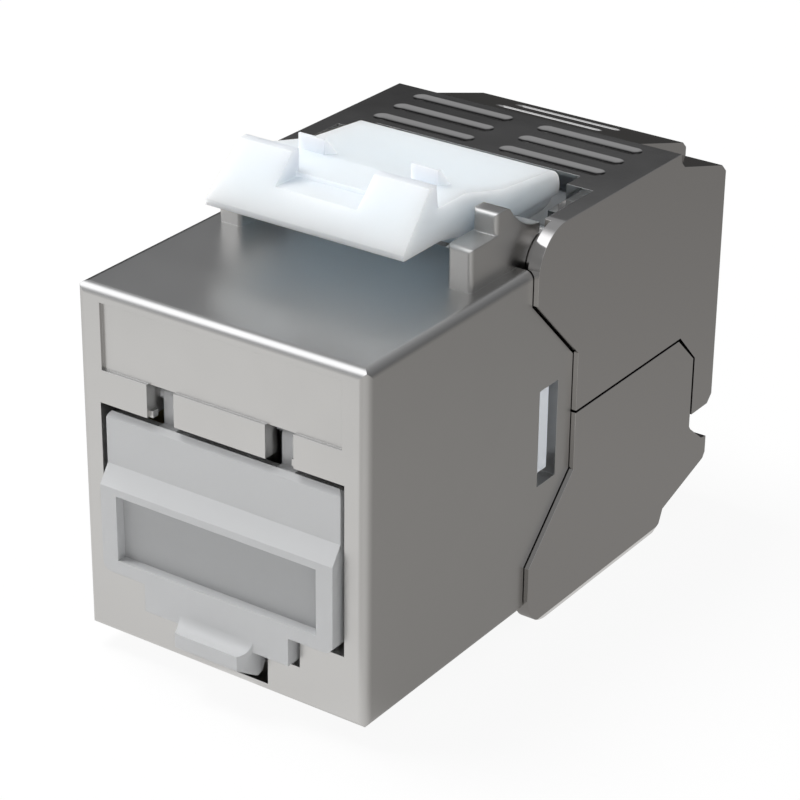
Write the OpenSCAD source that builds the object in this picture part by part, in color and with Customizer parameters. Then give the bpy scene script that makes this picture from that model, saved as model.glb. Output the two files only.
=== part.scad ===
// Shielded keystone jack with a dust cover, a snap-in latch and two rear doors that close on the cable.
// X runs across the port, Y from the front face to the rear, Z up. Millimetres.
// The origin is the middle of the front face's lower edge.

/* [Front housing] */
// Width of the housing, which passes the standard panel opening
housing_w = 14.5; // [14.2:0.05:14.8]
// Height of the housing
housing_h = 16.1; // [15.9:0.05:16.4]
// Depth of the housing's box, from the front face to the doors
housing_d = 11.65; // [11.4:0.05:12.4]
// Radius on the housing's outer edges
edge_r = 0.4; // [0.2:0.05:0.5]
// Thickness of the side walls
side_wall = 1.08; // [1:0.02:1.14]
// Thickness of the top wall
top_wall = 1.2; // [1:0.05:1.4]
// Thickness of the bottom wall under the latch channel
bottom_wall = 0.9; // [0.7:0.05:1.2]
// Thickness of the front wall above the port
front_wall = 0.77; // [0.65:0.01:0.78]
// Thickness of the front wall below the port
sill_wall = 1.25; // [1.15:0.05:1.6]
// Thickness of the wall at the rear end of the latch channel
channel_end = 0.8; // [0.6:0.05:1.2]
// Depth of the hinge pocket behind the front wall
pocket_d = 1.48; // [1.4:0.02:1.7]
// Margin beside the name recess
recess_side = 1.21; // [1:0.01:1.5]
// Margin above the name recess
recess_top = 0.65; // [0.5:0.05:0.9]
// Depth of the name recess
recess_depth = 0.15; // [0.1:0.05:0.3]
// Distance of the side window behind the housing's box
window_gap = 0.85; // [0.7:0.05:1]
// Length of the side window
window_d = 1.45; // [1.2:0.05:1.6]
// Height of the side window
window_h = 4.55; // [4:0.05:4.8]
// Drop of the window's lower edge below the doors' meeting line
window_drop = 2.61; // [2.4:0.01:2.7]

/* [Panel fit] */
// Rear face of the two catches, which hold the panel's edges
catch_y = 8.15; // [8:0.05:8.3]
// Length of the seat for the panel's edge behind the latch ridge
seat_d = 1.95; // [1.7:0.05:2]
// Width of the fixed catch under the housing
lug_w = 8; // [6:0.5:9]
// Length of the fixed catch
lug_d = 1.5; // [1.2:0.1:2]
// Height of the fixed catch, and drop of the lower door below the housing
lug_h = 0.95; // [0.85:0.05:1.05]

/* [Port] */
// Top of the port
port_top = 10.92; // [10.8:0.02:11.1]
// Floor of the port's main width
port_floor = 3.15; // [3.05:0.05:3.3]
// Width of the step for the plug's latch
step_w = 7.9; // [7.6:0.05:8.2]
// Floor of that step in the front wall
step_floor = 1.85; // [1.7:0.05:2]
// Width of the notch for the plug's lever
notch_w = 4.62; // [4.4:0.02:5]
// Floor of that notch
notch_floor = 0.46; // [0.4:0.02:0.6]

/* [Dust cover] */
// Gap round the cover in the port
cover_gap = 0.22; // [0.18:0.01:0.26]
// Thickness of the cover's plate
cover_t = 1; // [0.9:0.02:1.06]
// Set-back of the plate from the housing's face
cover_front = 0.05; // [0:0.01:0.08]
// How far the label frame stands in front of the housing's face
frame_proud = 0.49; // [0.4:0.01:0.6]
// Height of the label frame's front face
frame_h = 4.03; // [3.9:0.01:4.2]
// Height of the slope from the frame up to the plate
frame_slope = 0.8; // [0.6:0.05:1]
// Margin of the frame beside the label window
label_side = 0.82; // [0.7:0.02:1]
// Margin of the frame under the label window
label_low = 0.64; // [0.5:0.02:0.7]
// Height of the label window
label_h = 3.05; // [2.8:0.05:3.1]
// Depth of the label window
label_depth = 0.45; // [0.3:0.05:0.5]
// Radius on the cover's corners
cover_r = 0.45; // [0.3:0.05:0.6]
// Width of the finger lip where it leaves the cover
lip_w = 3.8; // [3.5:0.05:4]
// Width of the finger lip at its edge
lip_edge_w = 3.24; // [3:0.02:3.4]
// How far the finger lip stands in front of the label frame
lip_d = 0.68; // [0.5:0.02:0.8]
// Height of the finger lip's front edge
lip_t = 0.67; // [0.5:0.01:0.75]
// Radius of the hollow between the lip's top and the cover
lip_hollow = 0.5; // [0.3:0.05:0.6]
// Cover hinge axis behind the front face
cover_axis_y = 1.2; // [1.18:0.01:1.22]
// Cover hinge axis above the port's top
cover_axis_rise = 0.78; // [0.76:0.01:0.8]
// Radius of the cover's hinge pins
cover_pin_r = 0.32; // [0.26:0.01:0.34]
// Length of the hinge pins beyond the arms
cover_pin_len = 0.72; // [0.6:0.02:0.76]
// Half of the middle tab's width between the two hinge slots
tab_half = 2.31; // [2.2:0.01:2.4]
// Width of each hinge slot
slot_w = 1.39; // [1.3:0.01:1.45]
// Height of each hinge slot
slot_h = 1.5; // [1.46:0.01:1.6]
// Width of each hinge arm
arm_w = 0.9; // [0.8:0.02:1]
// Thickness of each hinge arm
arm_t = 0.84; // [0.7:0.02:0.86]

/* [Latch clip] */
// Gap between the clip and the cheeks on each side
clip_gap = 0.26; // [0.2:0.01:0.35]
// Draft of the clip's sides, in degrees
clip_draft = 5; // [3:0.5:6]
// Length of the clip's wedge in front of its catch face
wedge_d = 2.53; // [2.3:0.01:2.8]
// Height of the wedge's lower face above the housing
wedge_rise = 2; // [1.9:0.05:2.1]
// Thickness of the wedge's front edge
wedge_edge = 0.25; // [0.15:0.05:0.4]
// Height of the panel seat above the housing
seat_rise = 3.4; // [3.3:0.02:3.5]
// Height of the catch ridge above the seat
ridge_h = 0.95; // [0.8:0.05:1.1]
// Length of the flat on top of the ridge
ridge_flat = 0.45; // [0.3:0.05:0.6]
// Width of the hollow in the middle of the wedge
hollow_w = 4.1; // [3.6:0.1:5]
// Depth of the hollow below the seat
hollow_drop = 0.22; // [0.1:0.02:0.3]
// Inner side of each rear stop, from the middle
stop_in = 2.18; // [2:0.02:2.4]
// Width of each rear stop
stop_w = 1.35; // [1:0.05:1.6]
// Height of the rear stops above the seat
stop_h = 0.68; // [0.5:0.02:0.8]
// Front edge of the pad behind the clip's axis
pad_start = 1.2; // [1:0.05:1.4]
// Length of the pad
pad_d = 4.4; // [4.2:0.05:4.4]
// Drop of the pad's front edge below the seat
pad_step = 0.7; // [0.6:0.02:0.8]
// Fall of the pad towards its rear
pad_fall = 0.35; // [0.3:0.01:0.4]
// Radius of the pad's rounded end
pad_r = 0.9; // [0.8:0.02:0.95]
// Depth of the relief along the pad's lower sides
relief_d = 0.25; // [0.15:0.05:0.4]
// Clip axis in front of the housing's rear end
clip_axis_gap = 0.05; // [0.02:0.01:0.1]
// Clip axis above the housing
clip_axis_rise = 0.9; // [0.86:0.01:0.94]
// Radius of the clip's side pins
clip_pin_r = 0.5; // [0.4:0.02:0.52]

/* [Cheeks] */
// Inset of the cheeks from the housing's sides
cheek_inset = 0.83; // [0.75:0.01:0.87]
// Thickness of a cheek
cheek_t = 1.19; // [1.1:0.01:1.22]
// Length of the low step of a cheek
cheek_low_d = 1.8; // [1.4:0.05:1.9]
// Height of the low step above the housing
cheek_low_h = 1.9; // [1.7:0.05:2.1]
// Front of the high step ahead of the clip's axis
cheek_high_d = 1.5; // [1.3:0.05:1.6]
// Height of the high step above the housing
cheek_high_h = 2.87; // [2.7:0.01:2.9]
// Radius of the hollow in the cheek's top
saddle_r = 3.08; // [3:0.02:3.1]
// Centre of that hollow above the housing
saddle_rise = 4.5; // [4.45:0.01:4.6]
// Radius of the crest between the high step and the hollow
crest_r = 0.4; // [0.3:0.05:0.5]
// Radius on the front edges of the steps
step_r = 0.2; // [0.1:0.05:0.25]
// Thickness of the hooks round the doors' studs
hook_t = 0.55; // [0.45:0.01:0.58]

/* [Doors] */
// How far the doors stand out beyond the housing on each side
door_over = 0.25; // [0.2:0.01:0.3]
// Thickness of the doors' side plates
door_plate = 0.7; // [0.64:0.01:0.72]
// Gap between the housing and the doors' front edges
door_gap = 0.05; // [0.04:0.01:0.1]
// Gap at the slanted edges of the tongues between the doors, for the doors' swing
tongue_gap = 0.08; // [0.08:0.01:0.14]
// Gap between the doors along their sides
part_gap = 0.12; // [0.1:0.01:0.14]
// Height of the doors' meeting line above the housing's middle
part_rise = 0.31; // [0.25:0.01:0.35]
// Length of the doors from front to rear
door_d = 15.7; // [15.5:0.05:16]
// Length of the slanted part of the doors' front edges
nose_d = 3.4; // [3.2:0.05:3.45]
// Overlap of the upper door's tail behind the lower door
tail_lap = 1.95; // [1.9:0.01:2]
// Corner cut where the doors meet at the rear
part_cut = 1.5; // [1.4:0.05:1.6]
// Thickness of the doors' rear walls
rear_wall = 1.1; // [1:0.05:1.15]
// Radius of the cable opening
cable_r = 4; // [3.6:0.05:4.1]

/* [Upper door] */
// Radius of the upper door's round front
upper_r = 2; // [1.97:0.01:2.03]
// Hinge axis of the upper door below the housing's top
upper_axis_drop = 0.38; // [0.36:0.01:0.4]
// Radius of its hinge studs
upper_stud_r = 1.38; // [1.34:0.01:1.4]
// Drop of its front corner below the hinge axis
upper_corner = 1.15; // [1.1:0.05:1.2]
// Thickness of its top plate
top_plate = 0.95; // [0.8:0.05:1]
// Length of the sloped shoulder behind the flat top
shoulder_d = 4.2; // [4:0.05:4.4]
// Drop from the flat top to the shoulder at the sides
shoulder_drop = 0.8; // [0.6:0.05:0.9]
// Fall of the shoulder from front to rear
shoulder_fall = 1.17; // [1.1:0.01:1.25]
// Margin beside the raised middle of the shoulder
hump_side = 2.1; // [1.9:0.05:2.4]
// Corner cut on the door's rear edges
corner_cut = 0.38; // [0.25:0.01:0.45]
// Length of its tail below the doors' meeting line
tail_h = 4.41; // [4.2:0.01:4.5]
// Relief in the side plates beside the cheeks
cheek_relief = 0.3; // [0.2:0.05:0.35]
// Width of the grip grooves
groove_w = 0.83; // [0.7:0.01:0.9]
// Depth of the grip grooves
groove_depth = 0.07; // [0.05:0.01:0.12]
// Spacing of the grip grooves
groove_pitch = 1.56; // [1.4:0.01:1.6]
// Distance of the last grip groove from the shoulder
groove_gap = 0.94; // [0.8:0.01:1.1]
// Distance of the grooves from the door's sides
groove_side = 1.5; // [1.3:0.05:1.8]
// Distance of the grooves from the middle
groove_mid = 0.71; // [0.5:0.01:1]
// Width of the two thin grooves on the shoulder
thin_groove_w = 0.56; // [0.4:0.02:0.64]
// Length of the two thin grooves
thin_groove_len = 5.6; // [5:0.1:7]
// First thin groove behind the flat top
thin_groove_y = 1; // [0.8:0.05:1.2]
// Spacing of the thin grooves
thin_groove_pitch = 1.65; // [1.4:0.05:1.8]
// Length of the well behind the hinge studs
well_d = 3.5; // [3.45:0.01:3.6]
// Extra length of the well for the clip's pad
pad_well_d = 1.1; // [1.05:0.01:1.2]

/* [Lower door] */
// Radius of the lower door's round front
lower_r = 1.55; // [1.53:0.01:1.57]
// Radius of its hinge studs
lower_stud_r = 0.95; // [0.9:0.01:0.97]
// Thickness of its bottom plate
bottom_plate = 0.75; // [0.65:0.01:0.8]
// Length of the raised foot behind the flat bottom
foot_d = 4.9; // [4.8:0.05:5.1]
// Rise from the flat bottom to the foot
foot_step = 0.9; // [0.8:0.05:1]
// Rise of the foot towards its rear
foot_rise = 1.12; // [1:0.02:1.2]
// Height of the foot's upright rear edge
foot_edge = 0.85; // [0.7:0.05:0.95]
// Distance of the foot's rear edge from the upper door's
foot_short = 0.25; // [0.15:0.05:0.4]

/* [Inside] */
// Gap between the housing's box and the carrier's rear wall
carrier_gap = 0.35; // [0.3:0.05:0.4]
// Thickness of the carrier's rear wall
carrier_wall = 2.6; // [2.5:0.05:2.7]
// Clearance of the carrier in the housing
carrier_play = 0.05; // [0.03:0.01:0.07]
// Spacing of the port contacts
contact_pitch = 1.02; // [0.98:0.01:1.03]
// Width of a port contact
contact_w = 0.5; // [0.4:0.02:0.54]
// Thickness of a port contact
contact_t = 0.3; // [0.25:0.01:0.34]
// Height of the contacts' upper run above the port's top
contact_rise = 0.63; // [0.58:0.01:0.7]
// Drop of the contacts' free ends below the port's top
contact_drop = 2.82; // [2.4:0.02:3]
// Step of the contacts up to their tails
tail_step = 0.4; // [0.3:0.02:0.5]
// Thickness of the circuit board
board_t = 1.2; // [1:0.1:1.4]
// Depth of the terminal block
block_d = 6.9; // [6.8:0.05:7]
// Height of half the terminal block
block_half_h = 4.84; // [4.7:0.02:4.9]
// Gap between block and guides
guide_gap = 0.3; // [0.2:0.02:0.4]
// Distance of the outer wire channels from the block's sides
wire_side = 1.7; // [1.5:0.05:1.8]
// Width of a wire channel
wire_w = 1.2; // [1:0.05:1.3]
// Depth of a wire channel in the block
wire_depth = 1.5; // [1.2:0.05:1.8]
// First row of blades behind the board
blade_front = 3.5; // [3.4:0.05:3.6]
// Distance between the two rows of blades
blade_step = 2; // [1.8:0.05:2.05]
// Width of a blade
blade_w = 1.5; // [1.3:0.05:1.7]
// Thickness of a blade
blade_t = 0.4; // [0.3:0.01:0.44]
// Height of the blades' tips above the guides' lower faces
blade_reach = 0.7; // [0.5:0.05:0.8]
// Width of the slit in a blade
slit_w = 0.32; // [0.24:0.02:0.4]
// Length of the slit in a blade
slit_d = 2.2; // [1.8:0.05:2.6]
// Thickness of the grounding springs
spring_t = 0.2; // [0.15:0.01:0.22]
// Height of the grounding springs
spring_h = 4.6; // [4:0.1:5]
// Bow of the grounding springs into the port
spring_bow = 0.35; // [0.2:0.05:0.4]

/* [Fits] */
// Radial clearance of the hinge pins and studs
pin_play = 0.06; // [0.05:0.01:0.07]
// Side clearance of moving pieces
side_play = 0.1; // [0.08:0.01:0.12]

/* [Hidden] */
$fn = 64;
// Length of a cut that runs clear of the part
far = 40;
// Overlap of joined shapes, and of a cut past a face
lap = 0.1;
half_w = housing_w / 2;
port_half = half_w - side_wall;
door_half = half_w + door_over;
plate_in = door_half - door_plate;
cheek_out = half_w - cheek_inset;
cheek_in = cheek_out - cheek_t;
stud_in = cheek_in + side_play;
ceiling_z = housing_h - top_wall;
slot_out = tab_half + slot_w;
recess_z = port_top + slot_h;
pocket_y = front_wall + pocket_d;
cover_axis_z = port_top + cover_axis_rise;
door_front = housing_d + door_gap;
upper_axis_y = door_front + upper_r;
upper_axis_z = housing_h - upper_axis_drop;
upper_top = upper_axis_z + upper_r;
upper_corner_z = upper_axis_z - upper_corner;
lower_axis_y = door_front + lower_r;
lower_axis_z = lower_r - lug_h;
lower_corner_z = lower_axis_z + lower_r;
nose_y = door_front + nose_d;
door_rear = door_front + door_d;
lower_rear = door_rear - tail_lap;
part_z = housing_h / 2 + part_rise;
hook_z = upper_axis_z - upper_stud_r - pin_play - hook_t;
lower_hook_z = lower_axis_z + lower_stud_r + pin_play + hook_t;
clip_axis_y = housing_d - clip_axis_gap;
clip_axis_z = housing_h + clip_axis_rise;
clip_half = cheek_in - clip_gap;
carrier_y = housing_d + carrier_gap;
board_y = carrier_y + carrier_wall;
block_y = board_y + board_t;
block_rear = block_y + block_d;
block_half = port_half - 0.27;
wire_pitch = (block_half - wire_side) / 1.5;
blade_y = block_y + blade_front;
guide_z = part_z + block_half_h + guide_gap;
blade_top = guide_z + blade_reach;
blade_foot = part_z + 1.3;
guide_top = upper_top - top_plate;
guide_floor = bottom_plate - lug_h;
contact_z = port_top + contact_rise;
tail_z = contact_z + tail_step;

// A flat shape drawn in Y and Z, given thickness from x0 to x1
module across(x0, x1) {
    translate([x0, 0, 0]) rotate([90, 0, 90]) linear_extrude(x1 - x0) children();
}

// A flat shape drawn in X and Z, given depth from y0 to y1
module deep(y0, y1) {
    translate([0, y1, 0]) rotate([90, 0, 0]) linear_extrude(y1 - y0) children();
}

// A shape and its mirror image on the other side of the port
module both_sides() {
    children();
    mirror([1, 0, 0]) children();
}

// A box from one corner to the other
module box(a, b) {
    translate(a) cube(b - a);
}

// A round bar along X
module bar(x0, x1, y, z, r) {
    translate([x0, y, z]) rotate([0, 90, 0]) cylinder(r = r, h = x1 - x0);
}

// A rectangle with round corners, centred in X and standing on zero
module round_rect(w, h, r) {
    translate([-w / 2 + r, 0]) square([w - 2 * r, h]);
    translate([-w / 2, r]) square([w, h - 2 * r]);
    for (x = [-1, 1], z = [r, h - r]) translate([x * (w / 2 - r), z]) circle(r);
}

// A strip of even thickness along a line of points, with round bends
module strip(points, t) {
    for (i = [0:len(points) - 2]) {
        run = points[i + 1] - points[i];
        translate(points[i]) rotate(atan2(run[1], run[0])) translate([0, -t / 2]) square([norm(run), t]);
    }
    for (i = [1:len(points) - 2]) translate(points[i]) circle(t / 2);
}

// A round hollow with ball ends that lies across the top
module groove(x0, x1, y, z, r) {
    bar(x0, x1, y, z, r);
    for (x = [x0, x1]) translate([x, y, z]) sphere(r);
}

// Turns an upper piece into its lower twin
module below() {
    translate([0, 0, 2 * part_z]) mirror([0, 0, 1]) children();
}

// Outline of one cheek with its two steps, the saddle and the hook round the upper door's stud
module cheek_outline() {
    high_y = clip_axis_y - cheek_high_d;
    high_z = housing_h + cheek_high_h;
    saddle_y = upper_axis_y - lap;
    saddle_z = housing_h + saddle_rise;
    crest_z = high_z - crest_r;
    crest_y = saddle_y - sqrt(pow(saddle_r + crest_r, 2) - pow(saddle_z - crest_z, 2));
    meet_z = crest_z + (saddle_z - crest_z) * crest_r / (saddle_r + crest_r);
    horn_y = upper_axis_y - 0.35;
    root_y = housing_d - 0.5;
    reach = upper_stud_r + pin_play;
    difference() {
        union() {
            step_outline(high_y - cheek_low_d, high_y + lap, housing_h + cheek_low_h);
            step_outline(high_y, crest_y, high_z);
            translate([crest_y, crest_z]) circle(crest_r);
            translate([crest_y - lap, ceiling_z]) square([horn_y - crest_y + lap, meet_z - ceiling_z]);
            translate([root_y, hook_z])
                square([upper_axis_y + 0.6 * reach - root_y, ceiling_z - hook_z + 0.3]);
        }
        translate([saddle_y, saddle_z]) circle(saddle_r);
        translate([upper_axis_y, upper_axis_z]) circle(reach);
    }
}

// Outline of one step of a cheek, with its upper front corner rounded
module step_outline(y0, y1, top) {
    translate([y0, ceiling_z]) square([y1 - y0, top - step_r - ceiling_z]);
    translate([y0 + step_r, ceiling_z]) square([y1 - y0 - step_r, top - ceiling_z]);
    translate([y0 + step_r, top - step_r]) circle(step_r);
}

// One cheek, with the upright front edges of its steps rounded
module cheek() {
    low_z = housing_h + cheek_low_h;
    high_y = clip_axis_y - cheek_high_d;
    intersection() {
        across(cheek_in, cheek_out) cheek_outline();
        union() {
            linear_extrude(low_z) step_plan(high_y - cheek_low_d);
            translate([0, 0, low_z - lap]) linear_extrude(far) step_plan(high_y);
        }
    }
}

// Plan of a step of a cheek, with round front corners
module step_plan(y0) {
    translate([(cheek_in + cheek_out) / 2, y0]) round_rect(cheek_t, far, step_r);
}

// Outline of the hook round the lower door's stud
module lower_hook_outline() {
    root_y = housing_d - 0.5;
    reach = lower_stud_r + pin_play;
    difference() {
        union() {
            translate([root_y, lower_axis_z - 1.15])
                square([lower_axis_y - 0.25 - root_y, 0.8]);
            translate([root_y, lower_axis_z - 0.45])
                square([lower_axis_y + 0.7 * reach - root_y, lower_hook_z - lower_axis_z + 0.45]);
        }
        translate([lower_axis_y, lower_axis_z]) circle(reach);
    }
}

// Side outline of the housing's tongues between the doors
module tongue_outline() {
    end = nose_y - door_gap;
    rise = end - housing_d;
    slant_gap = tongue_gap * sqrt(2) - door_gap;
    top = upper_corner_z - slant_gap;
    low = lower_corner_z + slant_gap;
    polygon([
        [housing_d - 1, low], [housing_d, low], [end, low + rise],
        [end, top - rise], [housing_d, top], [housing_d - 1, top]
    ]);
}

// Box of the housing with its outer edges rounded, square at the rear
module housing_box() {
    intersection() {
        deep(0, housing_d) round_rect(housing_w, housing_h, edge_r);
        across(-half_w, half_w) translate([housing_d / 2 + edge_r, 0])
            round_rect(housing_d + 2 * edge_r, housing_h, edge_r);
        translate([0, 0, -lap]) linear_extrude(housing_h + 2 * lap)
            round_rect(housing_w, housing_d + 2 * edge_r, edge_r);
    }
}

// Die-cast zinc front housing with the port, the hinge slots, the cheeks and the fixed panel catch
module front_housing() {
    window_y = housing_d + window_gap;
    window_z = part_z - window_drop;
    nub_w = (slot_w - arm_w - side_play) / 2;
    nub_h = 0.3;
    color("#B9B8B5") union() {
        difference() {
            union() {
                housing_box();
                both_sides() across(port_half, half_w) tongue_outline();
                both_sides() cheek();
                both_sides() across(cheek_in, cheek_out) lower_hook_outline();
                across(-lug_w / 2, lug_w / 2) polygon([
                    [catch_y - lug_d, bottom_wall / 2], [catch_y - lug_d, 0],
                    [catch_y - lug_d / 2, -lug_h], [catch_y, -lug_h], [catch_y, bottom_wall / 2]
                ]);
            }
            // Port through the front wall, and the latch channel behind it
            box([-port_half, -1, port_floor], [port_half, far, port_top]);
            box([-step_w / 2, -1, step_floor], [step_w / 2, sill_wall + lap, port_top]);
            box([-notch_w / 2, -1, notch_floor], [notch_w / 2, sill_wall + lap, port_top]);
            box([-step_w / 2, sill_wall, bottom_wall], [step_w / 2, housing_d - channel_end, port_top]);
            // Room for the contact carrier above the port
            box([-port_half, pocket_y, port_top - lap], [port_half, housing_d - 0.5, ceiling_z]);
            box([-port_half, housing_d - 1, port_top - lap], [port_half, far, hook_z]);
            box([-cheek_in, housing_d - 1, port_top - lap], [cheek_in, far, ceiling_z]);
            // Hinge slots, the pocket behind the middle tab and the holes for the cover's pins
            both_sides() box([tab_half, -1, port_top - lap], [slot_out, pocket_y + lap, recess_z]);
            box([-slot_out, front_wall, port_top - lap], [slot_out, pocket_y + lap, recess_z + 0.2]);
            both_sides() bar(slot_out - lap, slot_out + cover_pin_len, cover_axis_y, cover_axis_z,
                cover_pin_r + pin_play);
            // Name recess
            box([recess_side - half_w, -1, recess_z],
                [half_w - recess_side, recess_depth, housing_h - recess_top]);
            // Side windows for the carrier's catches
            both_sides() box([port_half - 1, window_y, window_z],
                [half_w + 1, window_y + window_d, window_z + window_h]);
            // Blind holes for the clip's pins
            both_sides() bar(cheek_in - lap, cheek_in + cheek_t / 2 + lap, clip_axis_y, clip_axis_z,
                clip_pin_r + pin_play);
        }
        // Small stops at the foot of the hinge slots
        both_sides() box([slot_out - nub_w, nub_h / 2, port_top],
            [slot_out + lap, front_wall - nub_h, port_top + nub_h]);
    }
}

// Side outline of the cover's plate and label frame, hollowed to swing past the housing's front wall
module cover_outline() {
    rear = cover_front + cover_t;
    floor_z = port_floor + cover_gap;
    top = port_top - 0.3;
    sweep_r = norm([cover_axis_y, cover_axis_rise]) + side_play / 2;
    difference() {
        polygon([
            [rear, floor_z], [-frame_proud, floor_z], [-frame_proud, floor_z + frame_h],
            [cover_front, floor_z + frame_h + frame_slope], [cover_front, top - 0.3],
            [cover_front + 0.2, top], [rear, top]
        ]);
        translate([cover_axis_y, cover_axis_z]) circle(sweep_r);
    }
}

// Side outline of the finger lip, hollowed above and cut back at the rear to swing out of the notch
module lip_outline(lip_y, lip_low, tongue_z) {
    root_y = cover_front + 0.4;
    polygon([
        [lip_y, tongue_z], [lip_y, tongue_z - lip_t], [-frame_proud + 0.35, lip_low], [0.2, lip_low + lap],
        [root_y, lip_low + 0.7], [root_y, tongue_z + 0.3], [-frame_proud, tongue_z + 0.3],
        [-frame_proud, tongue_z]
    ]);
    difference() {
        translate([-frame_proud - lip_hollow, tongue_z]) square([lip_hollow + lap, lip_hollow]);
        translate([-frame_proud - lip_hollow, tongue_z + lip_hollow]) circle(lip_hollow);
    }
}

// Moulded dust cover with hinge arms, label window and finger lip
module dust_cover() {
    half = port_half - cover_gap;
    rear = cover_front + cover_t;
    floor_z = port_floor + cover_gap;
    tongue_half = step_w / 2 - cover_gap;
    tongue_z = step_floor + cover_gap;
    lip_low = notch_floor + 1.5 * cover_gap;
    lip_y = -frame_proud - lip_d;
    arm_x = tab_half + (slot_w - arm_w) / 2;
    arm_z = port_top - 0.9;
    color("#C6C7C9") union() {
        difference() {
            intersection() {
                across(-half, half) cover_outline();
                translate([0, 0, floor_z]) deep(-far, far)
                    round_rect(2 * half, port_top - 0.25 - floor_z, cover_r);
            }
            box([label_side - half, -far, floor_z + label_low],
                [half - label_side, label_depth - frame_proud, floor_z + label_low + label_h]);
        }
        // Tongue in the step of the port
        box([-tongue_half, -frame_proud, tongue_z], [tongue_half, rear, floor_z + 0.3]);
        // Finger lip, narrower at its edge, with its root in the notch
        intersection() {
            across(-lip_w / 2, lip_w / 2) lip_outline(lip_y, lip_low, tongue_z);
            linear_extrude(port_top) polygon([
                [-lip_edge_w / 2, lip_y], [lip_edge_w / 2, lip_y], [lip_w / 2, -frame_proud],
                [lip_w / 2, rear], [-lip_w / 2, rear], [-lip_w / 2, -frame_proud]
            ]);
        }
        // Hinge arms and pins
        both_sides() across(arm_x, arm_x + arm_w) {
            translate([cover_axis_y, cover_axis_z]) circle(arm_t / 2);
            translate([cover_axis_y - arm_t / 2, arm_z]) square([arm_t, cover_axis_z - arm_z]);
            translate([rear - 0.6, arm_z]) square([0.75, 0.45]);
        }
        both_sides() bar(arm_x + lap, arm_x + arm_w + cover_pin_len, cover_axis_y, cover_axis_z,
            cover_pin_r);
    }
}

// Side outline of the latch clip
module clip_outline() {
    tip_y = catch_y - wedge_d;
    tip_z = housing_h + wedge_rise;
    seat_z = housing_h + seat_rise;
    pad_y = clip_axis_y + pad_start;
    pad_z = seat_z - pad_step;
    end_y = pad_y + pad_d - pad_r;
    end_z = pad_z - pad_fall;
    root_z = clip_axis_z - clip_pin_r - lap;
    polygon([
        [tip_y, tip_z], [tip_y, tip_z + wedge_edge], [catch_y - ridge_flat, seat_z + ridge_h],
        [catch_y, seat_z + ridge_h], [catch_y, seat_z], [catch_y + seat_d, seat_z], [pad_y, pad_z],
        [end_y, end_z], [end_y, end_z - 2 * pad_r], [pad_y + 0.7, root_z + lap],
        [clip_axis_y + 0.7, root_z], [clip_axis_y - 0.1, root_z], [clip_axis_y - 0.9, clip_axis_z + 0.2],
        [clip_axis_y - 2.2, tip_z - 0.25], [catch_y, tip_z]
    ]);
    translate([end_y, end_z - pad_r]) circle(pad_r);
}

// Moulded snap-in latch: a hollowed wedge with a catch ridge, two rear stops, a beam and a rounded pad
module latch_clip() {
    tip_z = housing_h + wedge_rise;
    seat_z = housing_h + seat_rise;
    hollow_z = seat_z - hollow_drop;
    hollow_y = catch_y - wedge_d + (hollow_z - tip_z - wedge_edge) / 0.9;
    stop_y = catch_y + seat_d;
    color("#E9EEF6") union() {
        difference() {
            union() {
                across(-clip_half, clip_half) clip_outline();
                // Rear stops that keep the panel's edge on its seat
                both_sides() across(stop_in, stop_in + stop_w) polygon([
                    [stop_y, seat_z - 0.5], [stop_y, seat_z + stop_h], [stop_y + 0.12, seat_z + stop_h],
                    [stop_y + stop_h + 0.5, seat_z - 0.5]
                ]);
            }
            // Hollow through the wedge and the ridge
            across(-hollow_w / 2, hollow_w / 2) polygon([
                [hollow_y - lap, hollow_z], [catch_y - 0.2, hollow_z], [catch_y - 0.2, seat_z],
                [catch_y + lap, seat_z], [catch_y + lap, far], [hollow_y - lap, far]
            ]);
            // Draft of the sides above the wedge's lower face
            both_sides() translate([clip_half, 0, tip_z]) rotate([0, -clip_draft, 0]) cube([2, far, 5]);
            // Relief along the pad's lower sides
            both_sides() box([clip_half - relief_d, clip_axis_y + pad_start + 0.7, 0],
                [clip_half + 1, far, seat_z - pad_step - pad_fall - 1.4 * pad_r]);
        }
        both_sides() bar(clip_half - 0.5, cheek_in + cheek_t / 2 - lap, clip_axis_y, clip_axis_z,
            clip_pin_r);
    }
}

// Side outline of the upper door
module upper_outline() {
    top_end = door_rear - shoulder_d;
    step_z = upper_top - shoulder_drop;
    back_z = step_z - shoulder_fall + 0.13;
    tail_low = part_z - tail_h;
    translate([upper_axis_y, upper_axis_z]) circle(upper_r);
    polygon([
        [upper_axis_y, upper_top], [top_end, upper_top - lap], [top_end + 0.05, step_z + 0.3],
        [top_end + 0.35, step_z], [door_rear - corner_cut, back_z], [door_rear, back_z - corner_cut],
        [door_rear, tail_low + corner_cut], [door_rear - corner_cut, tail_low],
        [lower_rear + part_gap, tail_low], [lower_rear + part_gap, part_z - part_cut],
        [lower_rear + part_gap - part_cut, part_z + part_gap / 2], [nose_y, part_z + part_gap / 2],
        [nose_y, upper_corner_z - nose_d], [door_front, upper_corner_z], [door_front, upper_axis_z]
    ]);
}

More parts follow.
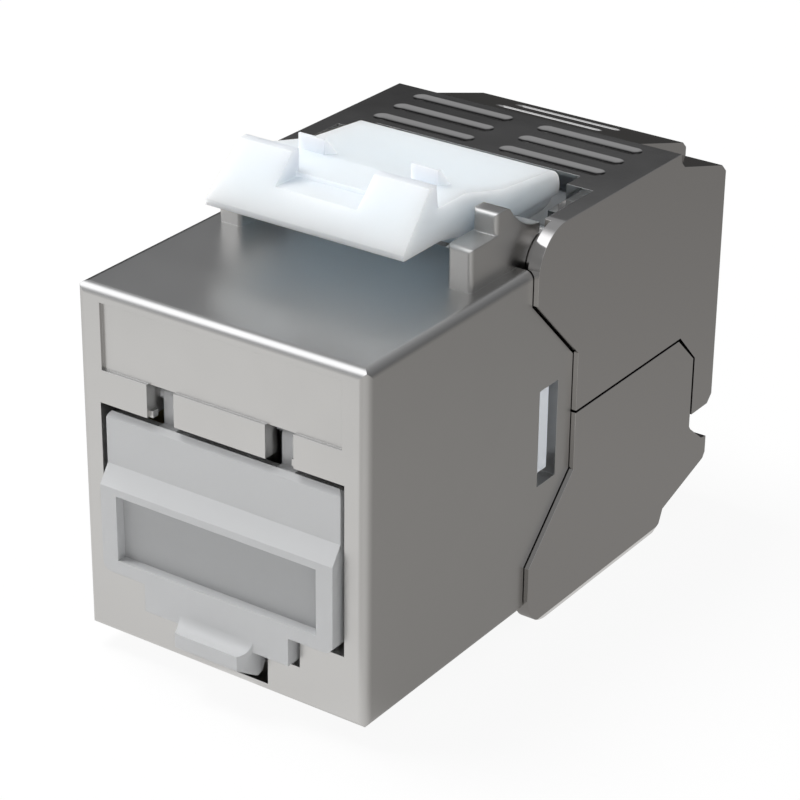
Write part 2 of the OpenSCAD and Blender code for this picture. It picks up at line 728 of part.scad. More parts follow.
// Die-cast upper door: side plates, top with grip grooves, rear wall over the cable, hinge studs
module upper_door() {
    top_end = door_rear - shoulder_d;
    hump_half = door_half - hump_side;
    slope = shoulder_fall / (shoulder_d - 0.3);
    inner_y = door_rear - rear_wall;
    tail_low = part_z - tail_h;
    pad_half = clip_half + 0.35;
    well_half = plate_in - 0.17;
    well_end = upper_axis_y + well_d;
    shelf_z = upper_axis_z + 0.55;
    groove_r = groove_w * groove_w / (8 * groove_depth) + groove_depth / 2;
    groove_z = upper_top + groove_r - groove_depth;
    thin_r = thin_groove_w / 2;
    color("#7C7976") union() {
        difference() {
            union() {
                across(-door_half, door_half) upper_outline();
                across(-hump_half, hump_half) polygon([
                    [top_end - 0.5, guide_top], [top_end - 0.5, upper_top - lap], [top_end, upper_top - lap],
                    [door_rear - 0.3, upper_top - lap - shoulder_fall],
                    [door_rear, upper_top - lap - shoulder_fall - 0.3], [door_rear, guide_top - 2.5]
                ]);
            }
            across(-plate_in, plate_in) polygon([
                [door_front - 1, tail_low - 1], [inner_y, tail_low - 1], [inner_y, guide_top - 1.9],
                [top_end + 0.4, guide_top - 0.9], [top_end - 0.6, guide_top], [door_front - 1, guide_top]
            ]);
            // Well for the clip's pad and the cheeks
            box([-well_half, door_front - 1, tail_low], [well_half, well_end, far]);
            box([-pad_half, door_front - 1, tail_low], [pad_half, well_end + pad_well_d, far]);
            // Relief beside each cheek
            both_sides() box([well_half - lap, door_front - 1, upper_axis_z - upper_r],
                [well_half + cheek_relief, upper_axis_y - cheek_relief, far]);
            // Cable opening in the rear wall
            deep(inner_y - 0.5, far) {
                translate([0, part_z]) circle(cable_r);
                translate([-cable_r, tail_low - 1]) square([2 * cable_r, tail_h + 1]);
            }
            // Grip grooves in two columns, each cut in its own strip, and two thin ones on the shoulder
            both_sides() for (i = [0:2]) {
                y = top_end - groove_gap - i * groove_pitch;
                fall = lap * (y - upper_axis_y) / (top_end - upper_axis_y);
                intersection() {
                    groove(groove_mid + groove_w / 2, door_half - groove_side - groove_w / 2, y, groove_z - fall,
                        groove_r);
                    box([0, y - groove_w / 2 - lap, guide_top],
                        [door_half, y + groove_w / 2 + lap, upper_top + lap]);
                }
            }
            for (i = [0:1]) {
                y = thin_groove_y + i * thin_groove_pitch;
                half = thin_groove_len / 2 - thin_r;
                groove(-half, half, top_end + y, upper_top - lap - slope * y, thin_r);
            }
        }
        both_sides() bar(stud_in, well_half + cheek_relief + lap, upper_axis_y, upper_axis_z, upper_stud_r);
        both_sides() box([pad_half, upper_axis_y + upper_stud_r + 0.67, shelf_z],
            [plate_in + lap, well_end + lap, shelf_z + 0.7]);
    }
}

// Side outline of the lower door
module lower_outline() {
    bottom_end = door_rear - foot_d;
    foot_rear = door_rear - foot_short;
    foot_z = foot_step + foot_rise - lug_h;
    heel_z = foot_z + 0.28;
    edge_z = heel_z + foot_edge;
    translate([lower_axis_y, lower_axis_z]) circle(lower_r);
    polygon([
        [door_front, lower_axis_z], [lower_axis_y, -lug_h], [bottom_end, -lug_h],
        [bottom_end + 0.55, 0.25 - lug_h], [bottom_end + 0.85, foot_step - lug_h],
        [foot_rear - 0.2, foot_z], [foot_rear, heel_z], [foot_rear, edge_z],
        [foot_rear - 0.5, edge_z + lap], [lower_rear + lap, heel_z + 1.85],
        [lower_rear, heel_z + 2], [lower_rear, part_z - part_cut],
        [lower_rear - part_cut, part_z - part_gap / 2], [nose_y, part_z - part_gap / 2],
        [nose_y, lower_corner_z + nose_d], [door_front, lower_corner_z]
    ]);
}

// Die-cast lower door: side plates, bottom, rear wall under the cable, hinge studs
module lower_door() {
    inner_y = lower_rear - rear_wall;
    nose_end = lower_axis_y + lower_r;
    color("#7C7976") union() {
        difference() {
            across(-door_half, door_half) lower_outline();
            across(-plate_in, plate_in) {
                polygon([
                    [nose_end, guide_floor], [door_rear - foot_d, guide_floor],
                    [inner_y, guide_floor + 1.1], [inner_y, far], [door_front - 1, far],
                    [door_front - 1, lower_axis_z], [nose_end, lower_axis_z]
                ]);
                translate([lower_axis_y, lower_axis_z]) circle(lower_r - bottom_plate);
                translate([lower_axis_y, guide_floor]) square([lower_r + lap, lower_r]);
            }
            // Room for the housing's hooks
            both_sides() box([cheek_in - side_play, door_front - 1, -lug_h - 1], [plate_in, nose_end, far]);
            // Cable opening in the rear wall
            deep(inner_y - 0.5, far) translate([0, part_z]) circle(cable_r);
        }
        both_sides() bar(stud_in, plate_in + lap, lower_axis_y, lower_axis_z, lower_stud_r);
    }
}

// Place of each port contact across the port
function contact_x(i) = (i - 4.5) * contact_pitch;

// One port contact, a formed strip of gold-plated spring bronze with its tail in the board
module port_contact(i) {
    bend_y = pocket_y + 2.2;
    color("#D9B45A") across(contact_x(i) - contact_w / 2, contact_x(i) + contact_w / 2) strip([
        [block_y, tail_z], [carrier_y + 0.5, tail_z], [carrier_y - 0.6, contact_z],
        [bend_y + 0.55, contact_z], [bend_y + 0.1, contact_z - 0.2], [bend_y, contact_z - 0.6],
        [bend_y + 0.3, contact_z - 0.95], [carrier_y - 1.6, port_top - contact_drop]
    ], contact_t);
}

// White moulded carrier for the port contacts, held by a catch in each side window
module contact_carrier() {
    half = port_half - carrier_play;
    floor_z = port_top + carrier_play;
    low_z = lower_hook_z + 0.24;
    high_z = hook_z - 0.24;
    catch_low = part_z - window_drop + 0.65;
    catch_top = part_z - window_drop + window_h;
    catch_start = housing_d + window_gap + carrier_play;
    color("#E9EBEE") difference() {
        union() {
            box([-half, pocket_y, floor_z], [half, housing_d - 0.6, ceiling_z]);
            box([-half, housing_d - 1, floor_z], [half, board_y, high_z]);
            box([-half, carrier_y, low_z], [half, board_y, high_z]);
            both_sides() box([half - 0.2, catch_start, catch_low],
                [half_w - carrier_play, catch_start + window_d / 2, catch_top]);
        }
        // Slots for the contacts
        for (i = [1:8]) {
            left = contact_x(i) - contact_w / 2;
            right = left + contact_w;
            box([left, pocket_y + 1, port_top - 1], [right, carrier_y + 0.6, contact_z + contact_t / 2]);
            box([left, carrier_y - 1, contact_z - 0.25], [right, board_y + 1, tail_z + contact_t / 2]);
        }
        // Hollow in front of the rear wall for the contacts' free ends
        box([-4.5 * contact_pitch, carrier_y - 1, port_top - contact_drop - 0.7],
            [4.5 * contact_pitch, carrier_y + 0.8, port_top + lap]);
    }
}

// Place of each blade: 1 to 4 above, 5 to 8 below, the outer two of each four in the rear row
function blade_x(i) = ((i - 1) % 4 - 1.5) * wire_pitch;
function blade_row(i) = blade_y + (abs(blade_x(i)) > wire_pitch ? blade_step : 0);

// One blade for an upper wire with its tail to the board, before its slit is cut
module blade_blank(i) {
    tail_w = 0.4 * blade_w;
    box([blade_x(i) - blade_w / 2, blade_row(i) - blade_t / 2, blade_foot],
        [blade_x(i) + blade_w / 2, blade_row(i) + blade_t / 2, blade_top]);
    box([blade_x(i) - tail_w / 2, board_y, blade_foot],
        [blade_x(i) + tail_w / 2, blade_row(i), blade_foot + blade_t]);
}

// One tin-plated blade with its wire slit
module idc_contact(i) {
    half = slit_w / 2;
    mouth = 0.3 * blade_w;
    color("#C9C9C4") difference() {
        blade_blank(i);
        translate([blade_x(i), blade_row(i), blade_top]) deep(-blade_t, blade_t) polygon([
            [-half, -slit_d], [half, -slit_d], [half, -0.5], [mouth, lap], [-mouth, lap], [-half, -0.5]
        ]);
    }
}

// Circuit board with a hole for each tail
module circuit_board() {
    color("#2F6B45") difference() {
        box([-block_half, board_y, part_z - block_half_h - 0.46],
            [block_half, block_y, part_z + block_half_h + 0.16]);
        for (i = [1:8]) {
            left = contact_x(i) - contact_w / 2;
            box([left, board_y - 1, tail_z - contact_t / 2],
                [left + contact_w, block_y + 1, tail_z + contact_t / 2]);
        }
        for (i = [1:4]) {
            blade_blank(i);
            below() blade_blank(i);
        }
    }
}

// Half of the terminal block: the walls of the wire channels above the middle
module terminal_half() {
    top = part_z + block_half_h;
    difference() {
        box([-block_half, block_y, part_z - lap], [block_half, block_rear, top]);
        for (i = [1:4]) {
            blade_blank(i);
            box([blade_x(i) - wire_w / 2, block_y + 0.8, top - wire_depth],
                [blade_x(i) + wire_w / 2, far, top + 1]);
        }
    }
}

// Moulded terminal block that holds the eight blades, with a recess for the cable's end
module terminal_block() {
    color("#E4E6E9") difference() {
        union() {
            terminal_half();
            below() terminal_half();
        }
        deep(block_rear - 1.2, far) translate([0, part_z]) circle(cable_r - 0.6);
    }
}

// Moulded guide that carries four wires in a door and presses them onto the blades
module wire_guide(seat_z) {
    color("#D8DBDF") difference() {
        box([-block_half, blade_y - 0.95, guide_z], [block_half, block_rear - 0.2, seat_z]);
        for (i = [1:4]) {
            deep(blade_y - 2, far) translate([blade_x(i), guide_z + 0.2]) circle(wire_w / 2);
            box([blade_x(i) - blade_w / 2 - 0.15, blade_row(i) - blade_t / 2 - 0.5, guide_z - 1],
                [blade_x(i) + blade_w / 2 + 0.15, blade_row(i) + blade_t / 2 + 0.2, blade_top + 0.3]);
        }
    }
}

module upper_wire_guide() {
    wire_guide(guide_top);
}

module lower_wire_guide() {
    below() wire_guide(2 * part_z - guide_floor);
}

// Sheet spring on the port's left wall, bowed inward to meet a plug's shield
module port_spring_left() {
    wall_x = spring_t / 2 - port_half;
    low_z = (port_top + port_floor - spring_h) / 2;
    tongue_h = 0.4 * spring_h;
    front_y = pocket_y + 0.15;
    rear_y = housing_d - 0.45;
    mid_y = (front_y + rear_y) / 2;
    color("#C4B58A") {
        box([-port_half, front_y, low_z], [spring_t - port_half, rear_y, low_z + spring_h]);
        translate([0, 0, low_z + (spring_h - tongue_h) / 2]) linear_extrude(tongue_h) strip([
            [wall_x, mid_y - 3.2], [wall_x + spring_bow, mid_y - 0.8],
            [wall_x + spring_bow, mid_y], [wall_x, mid_y + 2.6]
        ], spring_t);
    }
}

module port_spring_right() {
    mirror([1, 0, 0]) port_spring_left();
}

front_housing();
dust_cover();
latch_clip();
upper_door();
lower_door();
contact_carrier();
circuit_board();
terminal_block();
upper_wire_guide();
lower_wire_guide();
port_spring_left();
port_spring_right();
for (i = [1:8]) port_contact(i);
for (i = [1:4]) idc_contact(i);
for (i = [5:8]) below() idc_contact(i);
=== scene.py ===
import math
import bmesh
import bpy
from mathutils import Matrix, Vector


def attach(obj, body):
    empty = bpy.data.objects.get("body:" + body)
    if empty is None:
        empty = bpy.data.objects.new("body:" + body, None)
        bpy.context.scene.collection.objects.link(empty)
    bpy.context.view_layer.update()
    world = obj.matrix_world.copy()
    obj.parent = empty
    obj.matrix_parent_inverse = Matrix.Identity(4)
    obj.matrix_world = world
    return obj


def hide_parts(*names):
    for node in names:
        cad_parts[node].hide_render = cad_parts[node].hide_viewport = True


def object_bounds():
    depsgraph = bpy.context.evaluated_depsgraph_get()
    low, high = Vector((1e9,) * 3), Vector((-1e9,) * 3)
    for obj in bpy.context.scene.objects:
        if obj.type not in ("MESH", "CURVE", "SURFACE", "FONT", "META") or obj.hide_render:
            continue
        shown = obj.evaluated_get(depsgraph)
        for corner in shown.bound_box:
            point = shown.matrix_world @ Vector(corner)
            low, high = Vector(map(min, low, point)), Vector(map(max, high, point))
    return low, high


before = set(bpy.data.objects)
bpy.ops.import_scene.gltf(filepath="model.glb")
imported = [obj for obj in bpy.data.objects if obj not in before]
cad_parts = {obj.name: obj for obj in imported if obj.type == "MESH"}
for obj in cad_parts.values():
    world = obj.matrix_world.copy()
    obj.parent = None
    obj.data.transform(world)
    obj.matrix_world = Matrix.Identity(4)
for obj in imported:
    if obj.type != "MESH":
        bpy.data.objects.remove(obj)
cad_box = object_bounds()

# Front housing: one zinc die casting with the port, the cheeks for the latch and the hooks for the doors.
# It is tumbled so that its edges are blunt, and nickel plated to a satin grey that mirrors the room softly.
MM = 0.001
scene = bpy.context.scene
housing_top = 16.1 * MM


def linear(hex_colour):
    """The linear colour of an sRGB hex value."""
    parts = [int(hex_colour[i:i + 2], 16) / 255 for i in (1, 3, 5)]
    return [c / 12.92 if c < 0.04045 else ((c + 0.055) / 1.055) ** 2.4 for c in parts] + [1]


def add(tree, kind, inputs={}, **settings):
    """Adds a node. Sockets in inputs are linked, and other values are set."""
    made = tree.nodes.new("ShaderNode" + kind)
    for name, value in settings.items():
        setattr(made, name, value)
    for name, value in inputs.items():
        if isinstance(value, bpy.types.NodeSocket):
            tree.links.new(value, made.inputs[name])
        else:
            made.inputs[name].default_value = value
    return made


def new_material(name):
    """An empty material and its node tree."""
    material = bpy.data.materials.new(name)
    material.use_nodes = True
    material.node_tree.nodes.clear()
    return material, material.node_tree


def dress(node, material):
    """Gives a CAD node its material."""
    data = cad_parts[node].data
    data.materials.clear()
    data.materials.append(material)


def rubbed(tree, radius):
    """The normal blunted along sharp edges, and a share that is one there and nothing on the faces, for wear."""
    soft = add(tree, "Bevel", {"Radius": radius}, samples=6).outputs["Normal"]
    flat = add(tree, "NewGeometry").outputs["Normal"]
    turn = add(tree, "VectorMath", {0: soft, 1: flat}, operation="DOT_PRODUCT").outputs["Value"]
    worn = add(tree, "MapRange", {"Value": turn, "From Min": 0.99, "From Max": 0.8})
    return soft, worn.outputs["Result"]


def plated_metal(name, colour, worn_colour, roughness, edge, softer=None):
    """A plated metal: a fine grain of the casting or rolling, a slow change of gloss, and rubbed edges.
    Above the height in softer the edges have its second value as their radius.
    The real grain is finer, and it is drawn as coarse as it needs to show."""
    cloud_size, grain_size, grain_depth = 2.5 * MM, 0.12 * MM, 0.003 * MM
    gloss_change = 0.03
    material, tree = new_material(name)
    place = add(tree, "TexCoord").outputs["Object"]
    if softer:
        height = add(tree, "SeparateXYZ", {"Vector": place}).outputs["Z"]
        edge = add(tree, "MapRange", {"Value": height, "From Min": softer[0],
                                      "From Max": softer[0] + 0.05 * MM,
                                      "To Min": edge, "To Max": softer[1]}).outputs["Result"]
    cloud = add(tree, "TexNoise", {"Vector": place, "Scale": 1 / cloud_size, "Detail": 3})
    grain = add(tree, "TexNoise", {"Vector": place, "Scale": 1 / grain_size, "Detail": 2})
    gloss = add(tree, "MapRange", {"Value": cloud.outputs["Fac"], "From Min": 0.3, "From Max": 0.7,
                                   "To Min": roughness - gloss_change, "To Max": roughness + gloss_change})
    soft, worn = rubbed(tree, edge)
    tint = add(tree, "Mix", {"Factor": worn, "A": linear(colour), "B": linear(worn_colour)}, data_type="RGBA")
    bump = add(tree, "Bump", {"Height": grain.outputs["Fac"], "Strength": 0.2, "Distance": grain_depth,
                              "Normal": soft})
    shader = add(tree, "BsdfPrincipled", {"Base Color": tint.outputs["Result"], "Metallic": 1,
                                          "Roughness": gloss.outputs["Result"],
                                          "Normal": bump.outputs["Normal"]})
    add(tree, "OutputMaterial", {"Surface": shader.outputs["BSDF"]})
    return material


# The posts and cheeks above the top are blunter than the rest, so their edges catch a line of light.
housing_zinc = plated_metal("nickel_plated_zinc", "#C9C8C6", "#D2D1D0", 0.31, 0.02 * MM,
                            (housing_top + 0.02 * MM, 0.09 * MM))
dress("front_housing", housing_zinc)


# Contact carrier, port contacts and grounding springs: the carrier is moulded white acetal, pushed in from behind
# until its catches show in the side windows. The contacts are gold plated, and the springs are tinned bronze.
def moulded(name, colour, worn_colour, roughness, edge, grain_size=0.1, glow_depth=0):
    """A moulded plastic: a fine grain of the mould, a slow change of gloss, and smoother rubbed edges.
    Where it has a glow depth, light spreads that far in it."""
    cloud_size, grain_depth = 3 * MM, 0.004 * MM
    gloss_change = 0.04
    material, tree = new_material(name)
    place = add(tree, "TexCoord").outputs["Object"]
    cloud = add(tree, "TexNoise", {"Vector": place, "Scale": 1 / cloud_size, "Detail": 3})
    grain = add(tree, "TexNoise", {"Vector": place, "Scale": 1 / (grain_size * MM), "Detail": 2})
    gloss = add(tree, "MapRange", {"Value": cloud.outputs["Fac"], "From Min": 0.3, "From Max": 0.7,
                                   "To Min": roughness - gloss_change, "To Max": roughness + gloss_change})
    soft, worn = rubbed(tree, edge)
    tint = add(tree, "Mix", {"Factor": worn, "A": linear(colour), "B": linear(worn_colour)}, data_type="RGBA")
    bump = add(tree, "Bump", {"Height": grain.outputs["Fac"], "Strength": 0.2, "Distance": grain_depth,
                              "Normal": soft})
    shader = add(tree, "BsdfPrincipled", {"Base Color": tint.outputs["Result"],
                                          "Roughness": gloss.outputs["Result"], "IOR": 1.5,
                                          "Normal": bump.outputs["Normal"]})
    if glow_depth:
        shader.inputs["Subsurface Weight"].default_value = 1
        shader.inputs["Subsurface Radius"].default_value = (1, 1, 1)
        shader.inputs["Subsurface Scale"].default_value = glow_depth
    add(tree, "OutputMaterial", {"Surface": shader.outputs["BSDF"]})
    return material


# Acetal is a cool white with a satin skin. Gold plate is a bright warm yellow, and tin over bronze a dull straw grey.
white_acetal = moulded("white_acetal", "#EEF3F9", "#F4F7FA", 0.4, 0.04 * MM)
dress("contact_carrier", white_acetal)
gold_plate = plated_metal("gold_plated_bronze", "#E0B45A", "#E6BE6A", 0.22, 0.03 * MM)
tinned_bronze = plated_metal("tinned_spring_bronze", "#C4B58A", "#CFC29C", 0.32, 0.03 * MM)
for i in range(1, 9):
    dress(f"port_contact_{i}", gold_plate)
dress("port_spring_left", tinned_bronze)
dress("port_spring_right", tinned_bronze)

# Circuit board, terminal block, blades and wire guides: a green glass-fibre board stands between the contacts and
# the block. The block and guides are moulded in natural polycarbonate, and the blades are tin plated.
# The board's mask is a deep green, the polycarbonate a milky white, and the tin a soft silver.
green_board = moulded("green_solder_mask", "#2F6B45", "#4A7A58", 0.35, 0.04 * MM)
dress("circuit_board", green_board)
natural = moulded("natural_polycarbonate", "#DDDFE0", "#E6E8E9", 0.32, 0.04 * MM)
for node in ("terminal_block", "upper_wire_guide", "lower_wire_guide"):
    dress(node, natural)
tin_plate = plated_metal("tin_plated_bronze", "#D0D0CC", "#DADAD6", 0.32, 0.03 * MM)
for i in range(1, 9):
    dress(f"idc_contact_{i}", tin_plate)

# Doors: two zinc castings, plated like the housing, that snap onto its hooks by their studs.
# Their outer edges are rounder than the housing's, and only the edges where they meet are crisp.
crease = 28
upward = 0.9
door_half = 7.5


def faces_up(edge):
    return all(f.normal.z > upward for f in edge.link_faces)


def even_normals(mesh, rim):
    """Normals at the faces' corners: flat on the CAD faces up to their creases, and turning along the roundings.
    Rims of shallow hollows in the top are creases from an angle of their own on."""
    beside = math.radians(30)
    strength = mesh.attributes["__mod_weightednormals_faceweight"].data
    old = [strength[f.index].value > 0 for f in mesh.polygons]
    ways = [f.normal.copy() for f in mesh.polygons]
    areas = [f.area for f in mesh.polygons]
    around = [[] for v in mesh.vertices]
    for face in mesh.polygons:
        for v in face.vertices:
            around[v].append(face.index)

    def alike(a, b):
        limit = rim if old[a] and min(ways[a].z, ways[b].z) > upward else crease
        return ways[a].angle(ways[b], math.pi) < math.radians(limit)

    normals = []
    for face in mesh.polygons:
        for v in face.vertices:
            seen = face.index
            kin = [i for i in around[v] if old[i] and ways[i].angle(ways[seen], math.pi) < beside]
            if kin and not old[seen]:
                seen = min(kin, key=lambda i: ways[i].angle(ways[face.index], math.pi))
            group = [i for i in around[v] if old[i] == old[seen] and alike(seen, i)] or [seen]
            normals.append(sum((ways[i] * areas[i] for i in group), Vector()).normalized())
    return normals


def rounded(node, body, materials, radii, rim=crease, plain=99, field=None):
    """Stands in for a CAD node, with its sharp edges rounded. The first test that takes an edge gives its radius.
    Rims of shallow hollows in the top stay crisp from an angle on, and further out than plain there are none."""
    same_point, same_plane = 0.0005 * MM, math.radians(0.5)
    mesh = bmesh.new()
    mesh.from_mesh(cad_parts[node].data)
    bmesh.ops.remove_doubles(mesh, verts=mesh.verts, dist=same_point)
    for x in (-plain * MM, plain * MM):
        bmesh.ops.bisect_plane(mesh, geom=mesh.verts[:] + mesh.edges[:] + mesh.faces[:],
                               plane_co=(x, 0, 0), plane_no=(1, 0, 0))
    joined = [e for e in mesh.edges
              if not faces_up(e) or abs(e.verts[0].co.x + e.verts[1].co.x) > 2.001 * plain * MM]
    bmesh.ops.dissolve_limit(mesh, angle_limit=same_plane, verts=mesh.verts, edges=joined)
    weight = mesh.edges.layers.float.new("bevel_weight_edge")
    widest = max(radius for radius, test in radii)
    for edge in mesh.edges:
        if len(edge.link_faces) == 2 and edge.is_convex and edge.calc_face_angle() > math.radians(crease):
            ends = [v.co / MM for v in edge.verts]
            normals = [f.normal for f in edge.link_faces]
            edge[weight] = next((radius for radius, test in radii if test(ends, normals)), 0) / widest
    data = bpy.data.meshes.new(node + "_rounded")
    mesh.to_mesh(data)
    mesh.free()
    data.shade_smooth()
    data.materials.clear()
    made = bpy.data.objects.new(node + "_rounded", data)
    scene.collection.objects.link(made)
    soft = made.modifiers.new("soft_edges", "BEVEL")
    soft.limit_method, soft.width, soft.segments = "WEIGHT", widest * MM, 4
    soft.face_strength_mode = "FSTR_ALL"
    shaped = bpy.data.meshes.new_from_object(made.evaluated_get(bpy.context.evaluated_depsgraph_get()))
    made.modifiers.clear()
    made.data = shaped
    shaped.shade_smooth()
    shaped.normals_split_custom_set(even_normals(shaped, rim))
    shaped.name = node + "_rounded"
    shaped.materials.clear()
    for material in materials:
        shaped.materials.append(material)
    for face in shaped.polygons:
        face.material_index = 1 if field and field(face.center / MM, face.normal) else 0
    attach(made, body)
    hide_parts(node)
    return made


def outline_face(normals):
    """Of the two faces at an edge of a side plate, the one that isn't the plate's side."""
    return min(normals, key=lambda n: abs(n.x))


def on_side(ends):
    return all(abs(p.x) > door_half - 0.01 for p in ends)


def at_rear(ends):
    return all(p.y > 22 and p.z > 13 for p in ends)


# The doors are polished before plating, so they mirror the room more clearly than the housing does.
outer, front, meeting, rear = 0.3, 0.06, 0.06, 0.25
lower_front = 0.16
# The doors' grey is a little darker than the housing's same plating: painted shade.
door_zinc_painted_shade = plated_metal("nickel_plated_zinc_doors_painted_shade", "#C3C1BF", "#CCCBC9", 0.12, 0.02 * MM)
rounded("upper_door", "upper_rear", [door_zinc_painted_shade], [
    (meeting, lambda ends, normals: on_side(ends) and outline_face(normals).z < -0.3),
    (front, lambda ends, normals: on_side(ends) and outline_face(normals).y < -0.3),
    (outer, lambda ends, normals: on_side(ends)),
    (rear, lambda ends, normals: at_rear(ends))], rim=12, plain=6.8)
rounded("lower_door", "lower_rear", [door_zinc_painted_shade], [
    (meeting, lambda ends, normals: on_side(ends) and outline_face(normals).z > 0.3),
    (lower_front, lambda ends, normals: on_side(ends) and outline_face(normals).y < -0.3),
    (outer, lambda ends, normals: on_side(ends))])

# Latch clip: moulded white acetal, sprung so that its ridge snaps behind the panel. It turns on two small pins.
# The plastic is slightly clear, so light spreads in it and its lower faces stay pale.
clip_edge = 0.12
# Its white is bluer than the carrier's acetal: the extra blue is painted bluish sky light.
clip_acetal_painted_blue_light = moulded("white_acetal_clip_painted_blue_light", "#E5EEFE", "#EAF2FE", 0.4, 0.04 * MM, glow_depth=2.8 * MM)
rounded("latch_clip", "latch", [clip_acetal_painted_blue_light], [(clip_edge, lambda ends, normals: True)])

# Dust cover: moulded grey ABS that swings up on two pins. Its face is a frame round a field for a label.
# The field is duller than the frame, and its darker grey is painted shade of its recess.
window_half = 4.75
window_low, window_high = 3.6, 9.2
window_edge, cover_edge = 0.08, 0.12


def on_frame(ends):
    return all(-0.5 < p.y < -0.48 for p in ends)


def in_window(p):
    return abs(p.x) < window_half and window_low < p.z < window_high


def is_label(p, normal):
    return normal.y < -upward and abs(p.y) < 0.2 and in_window(p)


grey_abs = moulded("grey_abs", "#CACBCC", "#D0D1D2", 0.42, 0.04 * MM)
# The label field's grey is darker than the frame's as painted shade of the recess; its duller gloss and finer grain
# are its own.
label_field_painted_shade = moulded("label_abs_painted_shade", "#AEAFB0", "#B8B9BA", 0.6, 0.04 * MM, grain_size=0.06)
rounded("dust_cover", "cover", [grey_abs, label_field_painted_shade], [
    (window_edge, lambda ends, normals: on_frame(ends) and all(in_window(p) for p in ends)),
    (cover_edge, lambda ends, normals: on_frame(ends)),
    (cover_edge, lambda ends, normals: all(p.y < 0 for p in ends))], field=is_label)

# Studio: a white paper floor and a soft lamp high on the left. Camera and gloss rays see white all round.
# A dome and a floor sheet that only gloss rays see give the metal the greys that it mirrors.
scene.view_settings.view_transform = "Standard"
floor_z = cad_box[0].z
floor_half = 0.6
middle = Vector((0, 0.013, 0))


def staged(name, points, faces, material, tones=None):
    """A piece of the studio, with a grey at each point where tones are given."""
    mesh = bpy.data.meshes.new(name)
    mesh.from_pydata(points, [], faces)
    mesh.materials.append(material)
    made = bpy.data.objects.new(name, mesh)
    scene.collection.objects.link(made)
    if tones:
        layer = mesh.color_attributes.new("tone", "FLOAT_COLOR", "POINT")
        for i, tone in enumerate(tones):
            layer.data[i].color = (*tone, 1)
        made.visible_camera = made.visible_diffuse = made.visible_shadow = made.visible_transmission = False
    return made


def seen_white(tree):
    """One for camera, gloss and transmission rays, and nothing for the light on the object."""
    rays = add(tree, "LightPath").outputs
    seen = add(tree, "Math", {0: rays["Is Camera Ray"], 1: rays["Is Glossy Ray"]}, operation="MAXIMUM")
    through = add(tree, "Math", {0: seen.outputs[0], 1: rays["Is Transmission Ray"]}, operation="MAXIMUM")
    return through.outputs[0]


paper, tree = new_material("white_paper")
matt = add(tree, "BsdfDiffuse", {"Color": linear("#F4F4F4")})
glow = add(tree, "Emission", {"Color": (1, 1, 1, 1), "Strength": 1})
share = add(tree, "Math", {0: seen_white(tree), 1: 0.92}, operation="MULTIPLY")
mixed = add(tree, "MixShader", {0: share.outputs[0], 1: matt.outputs[0], 2: glow.outputs[0]})
add(tree, "OutputMaterial", {"Surface": mixed.outputs[0]})
corners = [(-1, -1), (1, -1), (1, 1), (-1, 1)]
staged("floor", [(x * floor_half, y * floor_half, floor_z) for x, y in corners], [(0, 1, 2, 3)], paper)

world = bpy.data.worlds.new("studio")
scene.world = world
world.use_nodes = True
tree = world.node_tree
tree.nodes.clear()
fill = add(tree, "Background", {"Color": (1, 1, 1, 1), "Strength": 0.45})
white = add(tree, "Background", {"Color": (1, 1, 1, 1), "Strength": 1})
mixed = add(tree, "MixShader", {0: seen_white(tree), 1: fill.outputs[0], 2: white.outputs[0]})
add(tree, "OutputWorld", {"Surface": mixed.outputs[0]})


def between(value, *stops):
    """The value of a line drawn through the stops."""
    for (a, low), (b, high) in zip(stops, stops[1:]):
        if value <= b:
            return low + (high - low) * max(0, value - a) / (b - a)
    return stops[-1][1]


glow_way = Vector((-0.51, -0.38, 0.77)).normalized()


def sky_tone(way):
    """The grey of the room in one direction: dark low behind, paler above, and bright round the lamp.
    The stops are degrees above the floor, round the object from the front, and away from the lamp."""
    high = math.degrees(math.asin(way.z))
    round_to = math.degrees(math.atan2(way.x, -way.y))
    front = between(high, (0, 0.56), (7, 0.52), (16, 0.42), (24, 0.45), (30, 0.48), (60, 0.45))
    left = between(high, (14, 0.01), (19, 0.04), (21, 0.07), (23, 0.12), (25, 0.22), (28, 0.36), (40, 0.45))
    right = between(high, (0, 0.19), (12, 0.17), (30, 0.23), (40, 0.3), (60, 0.42))
    rear = between(round_to, (-165, 0), (-130, 0), (-105, 1), (60, 1), (110, 0))
    side = between(round_to, (-180, 0.5), (-165, 0), (0, 0), (110, 1), (165, 1), (180, 0.5))
    grey = front * rear + (left * (1 - side) + right * side) * (1 - rear)
    off = math.degrees(way.angle(glow_way))
    grey += between(off, (0, 1.6), (18, 1.4), (23, 1), (27, 0.6), (32, 0.25), (38, 0))
    return grey * 0.985, grey, grey * 1.03


def floor_tone(x, y):
    """The grey of the floor: white in front on the left, grey to the right, and dark behind.
    The stops are degrees round the housing's front corner and millimetres from the object."""
    turned = math.degrees(math.atan2(y, x - 7.25))
    across = between(turned, (-180, 0.86), (-145, 0.95), (-122, 0.92), (-106, 0.66), (-90, 0.63), (-65, 0.7),
                     (-35, 0.66), (-5, 0.5), (25, 0.4), (50, 0.33), (90, 0.315), (125, 0.31), (180, 0.86))
    far = between(math.hypot(x, y), (30, 1), (45, 0.93), (54, 0.88), (67, 0.82), (100, 0.74), (300, 0.6))
    behind = between(y, (27, 0), (33, 1)) * between(x, (2, 1), (8, 0))
    grey = across * far * (1 - behind) + 0.05 * behind
    warm = 0.03 * (1 - across)
    return grey * (1 + warm), grey, grey * (1 - warm)


def ring_cells(count):
    """The faces between rings of points, each with as many points as there are turns."""
    return [(r * turns + i, r * turns + (i + 1) % turns, (r + 1) * turns + (i + 1) % turns, (r + 1) * turns + i)
            for r in range(count - 1) for i in range(turns)]


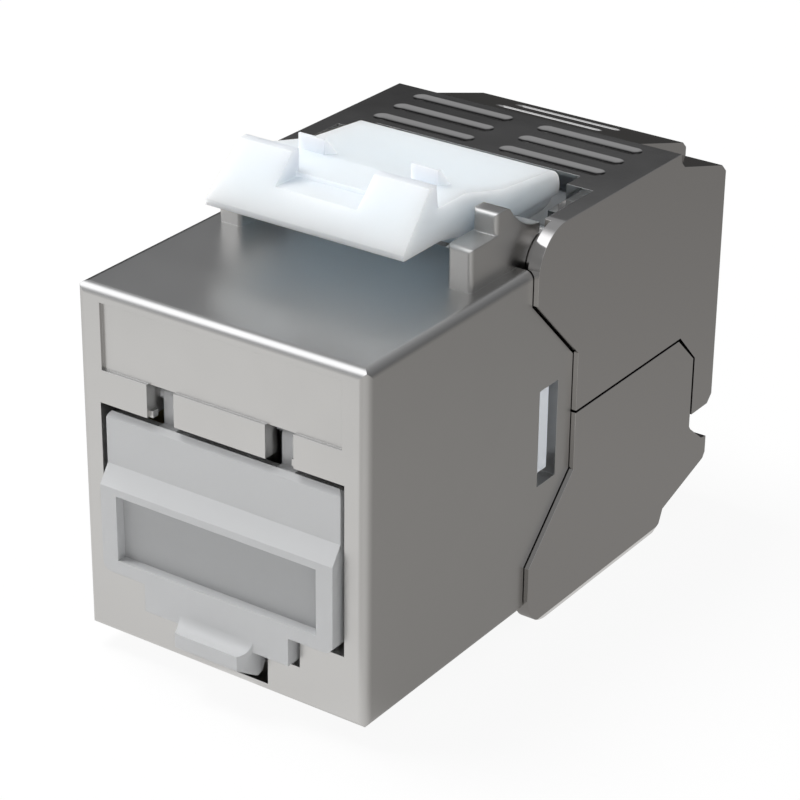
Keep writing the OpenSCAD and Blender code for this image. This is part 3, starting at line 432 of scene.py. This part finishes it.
toned, tree = new_material("studio_greys")
glow = add(tree, "Emission", {"Color": add(tree, "Attribute", attribute_name="tone").outputs["Color"]})
add(tree, "OutputMaterial", {"Surface": glow.outputs[0]})
turns = 120
angles = [2 * math.pi * i / turns for i in range(turns)]
dome_radius = 0.6
rises = [-1, 3, 6, 9, 12, 14, 16, 18, 20, 21, 22, 23, 24, 25, 26, 27, 28, 30, 33] + list(range(36, 89, 3)) + [89.5]
ways = [Vector((math.sin(a) * math.cos(b), -math.cos(a) * math.cos(b), math.sin(b)))
        for b in map(math.radians, rises) for a in angles]
staged("dome", [w * dome_radius + middle for w in ways], ring_cells(len(rises)), toned,
       [sky_tone(w) for w in ways])
sheet_lift = 0.2 * MM
rings = [1, 6, 11, 16, 20, 24, 28, 32, 36, 40, 50, 65, 100, 200, 400, 640]
spots = [(r * math.sin(a), -r * math.cos(a)) for r in rings for a in angles]
staged("floor_sheet", [(x * MM, y * MM, floor_z + sheet_lift) for x, y in spots], ring_cells(len(rings)), toned,
       [floor_tone(x, y) for x, y in spots])

key_way = Vector((-0.41, -0.08, 0.91)).normalized()
key_distance = 0.5
lamp = bpy.data.lights.new("key", "AREA")
lamp.shape, lamp.size, lamp.energy = "DISK", 0.25, 2.15
key = bpy.data.objects.new("key", lamp)
scene.collection.objects.link(key)
key.location = middle + Vector((0, 0, 0.009)) + key_way * key_distance
key.rotation_mode = "QUATERNION"
key.rotation_quaternion = key_way.to_track_quat("Z", "Y")
key.visible_glossy = False

# Camera: a long lens that looks down on the front right corner, so the upright edges stay nearly parallel.
# The picture has its middle on the lens axis.
camera_data = bpy.data.cameras.new("long_lens")
camera_data.sensor_width = 36
camera_data.lens = 127.51
camera_data.clip_start, camera_data.clip_end = 0.005, 10
camera = bpy.data.objects.new("camera", camera_data)
scene.collection.objects.link(camera)
camera_place = Vector((62.92, -78.45, 63.15)) * MM
azimuth, elevation, roll = math.radians(34.626), math.radians(26.595), math.radians(0.645)
back = Vector((math.sin(azimuth) * math.cos(elevation), -math.cos(azimuth) * math.cos(elevation),
               math.sin(elevation)))
turn = back.to_track_quat("Z", "Y").to_matrix() @ Matrix.Rotation(roll, 3, "Z")
camera.matrix_world = Matrix.Translation(camera_place) @ turn.to_4x4()
scene.camera = camera
